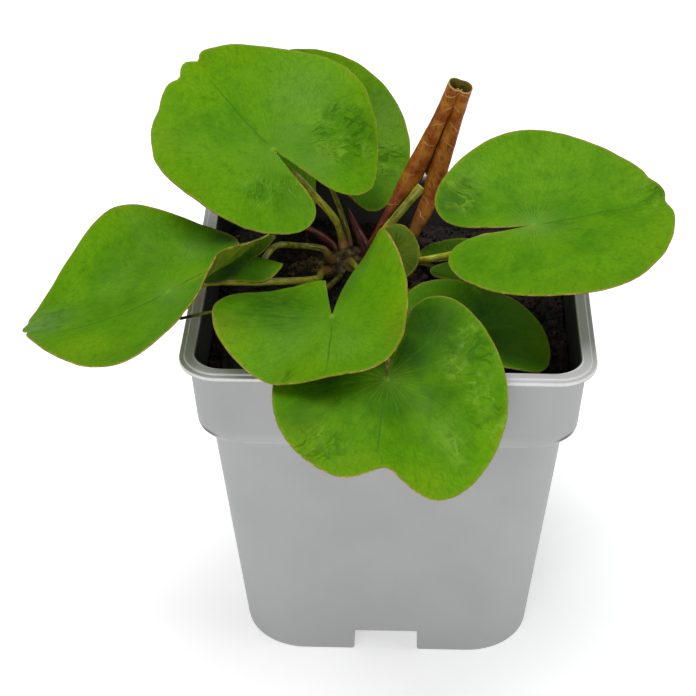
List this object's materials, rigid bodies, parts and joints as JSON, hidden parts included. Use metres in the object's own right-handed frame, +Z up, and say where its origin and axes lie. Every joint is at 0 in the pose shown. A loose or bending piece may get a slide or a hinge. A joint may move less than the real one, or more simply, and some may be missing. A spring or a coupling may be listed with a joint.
{
  "type": "potted water lily",
  "caption": "Young hardy water lily without a flower, with round floating-type leaves, a rolled copper leaf and red shoots, planted in a square grey nursery pot.",
  "frame": {"origin": "centre of the pot's flat underside", "axes": "+Z up, -Y towards the pot's front as pictured, +X to the viewer's right"},
  "size_m": [0.1744, 0.1648, 0.156],
  "materials": {
    "pot_plastic": "satin",
    "soil": "rough crumbly soil",
    "rootstock": "rough",
    "leaf_green": "waxy satin",
    "leaf_grey_green": "matte",
    "leaf_copper": "satin",
    "stalk_green": "satin",
    "shoot_red": "glossy",
    "stalk_dry": "dry matte"
  },
  "bodies": {
    "root": {"leaf_back_left": "leaf_green", "leaf_back": "leaf_green", "leaf_left": "leaf_green", "leaf_front_left": "leaf_green", "leaf_front": "leaf_green", "leaf_right": "leaf_green", "pot": "pot_plastic", "soil": "soil", "rootstock": "rootstock", "leaf_low_right": "leaf_green", "leaf_small_left": "leaf_green", "leaf_small_middle": "leaf_grey_green", "leaf_small_right": "leaf_grey_green", "stalk_back_left": "stalk_green", "stalk_back": "stalk_green", "stalk_left": "stalk_green", "stalk_front_left": "stalk_green", "stalk_front": "stalk_green", "stalk_low_right": "stalk_green", "stalk_right": "stalk_green", "stalk_small_left": "stalk_green", "stalk_small_middle": "stalk_green", "stalk_small_right": "stalk_green", "rolled_leaf": "leaf_copper", "stalk_rolled": "stalk_green", "shoot_upright": "shoot_red", "shoot_left": "shoot_red", "cut_stalk": "stalk_dry"}
  },
  "joints": []
}
